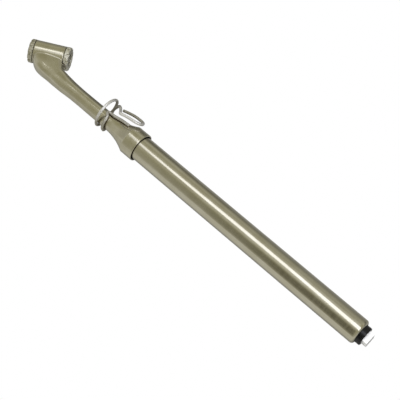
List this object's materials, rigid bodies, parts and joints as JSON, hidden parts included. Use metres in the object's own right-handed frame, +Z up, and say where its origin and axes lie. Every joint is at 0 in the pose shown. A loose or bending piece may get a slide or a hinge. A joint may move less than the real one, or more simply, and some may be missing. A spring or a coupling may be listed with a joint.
{
  "type": "tyre pressure gauge",
  "caption": "Pencil-style truck tyre pressure gauge with an angled double-ended chuck head, wire hanging clip, satin metal barrel and sliding indicator bar.",
  "frame": {"origin": "centre of the footprint on the surface that the gauge lies on, all pieces at rest", "axes": "+X along the barrel from the chuck head to the indicator's end, +Y towards the rear chuck's side, +Z up"},
  "size_m": [0.2848, 0.0316, 0.0217],
  "materials": {
    "cast_nickel": "satin nickel plate with a warm cast",
    "barrel_nickel": "fine circumferential brush marks under nickel",
    "wire_steel": "bright drawn wire",
    "inner_steel": "plain plated steel",
    "inner_brass": "turned brass",
    "seal_rubber": "black moulded rubber",
    "bushing_nylon": "glossy black moulded nylon",
    "bar_nylon": "white nylon with a plain printed scale"
  },
  "bodies": {
    "gauge_body": {"head_casting": "cast_nickel", "rear_chuck_ring": "cast_nickel", "front_chuck_ring": "cast_nickel", "rear_chuck_gasket": "seal_rubber", "front_chuck_gasket": "seal_rubber", "barrel": "barrel_nickel", "barrel_gasket": "seal_rubber", "spring": "inner_steel", "spring_seat_washer": "inner_steel", "bar_friction_ring": "seal_rubber", "end_bushing": "bushing_nylon"},
    "shuttle": {"shuttle_pin": "inner_brass", "rear_shuttle_seal": "seal_rubber", "front_shuttle_seal": "seal_rubber"},
    "piston_assembly": {"piston": "inner_brass", "piston_cup": "seal_rubber", "piston_washer": "inner_brass", "piston_screw": "inner_steel"},
    "indicator": {"indicator_bar": "bar_nylon"},
    "clip": {"hanging_clip": "wire_steel"}
  },
  "joints": [
    {"name": "piston_slide", "type": "slide", "parent": "gauge_body", "child": "piston_assembly", "axis": [1, 0, 0], "range_m": [0, 0.085], "stiffness_N_per_m": 1900, "deforming": ["spring"]},
    {"name": "indicator_slide", "type": "slide", "parent": "gauge_body", "child": "indicator", "axis": [1, 0, 0], "range_m": [0, 0.085]},
    {"name": "shuttle_slide", "type": "slide", "parent": "gauge_body", "child": "shuttle", "axis": [0.866, 0.4968, -0.0561], "range_m": [-0.0013, 0.0013]},
    {"name": "clip_swivel", "type": "hinge", "parent": "gauge_body", "child": "clip", "pos_m": [-0.06715, -0.00637, 0.00945], "axis": [1, 0, 0], "continuous": true}
  ],
  "couplings": [
    {"joint": "indicator_slide", "follows": "piston_slide", "ratio": 1}
  ]
}
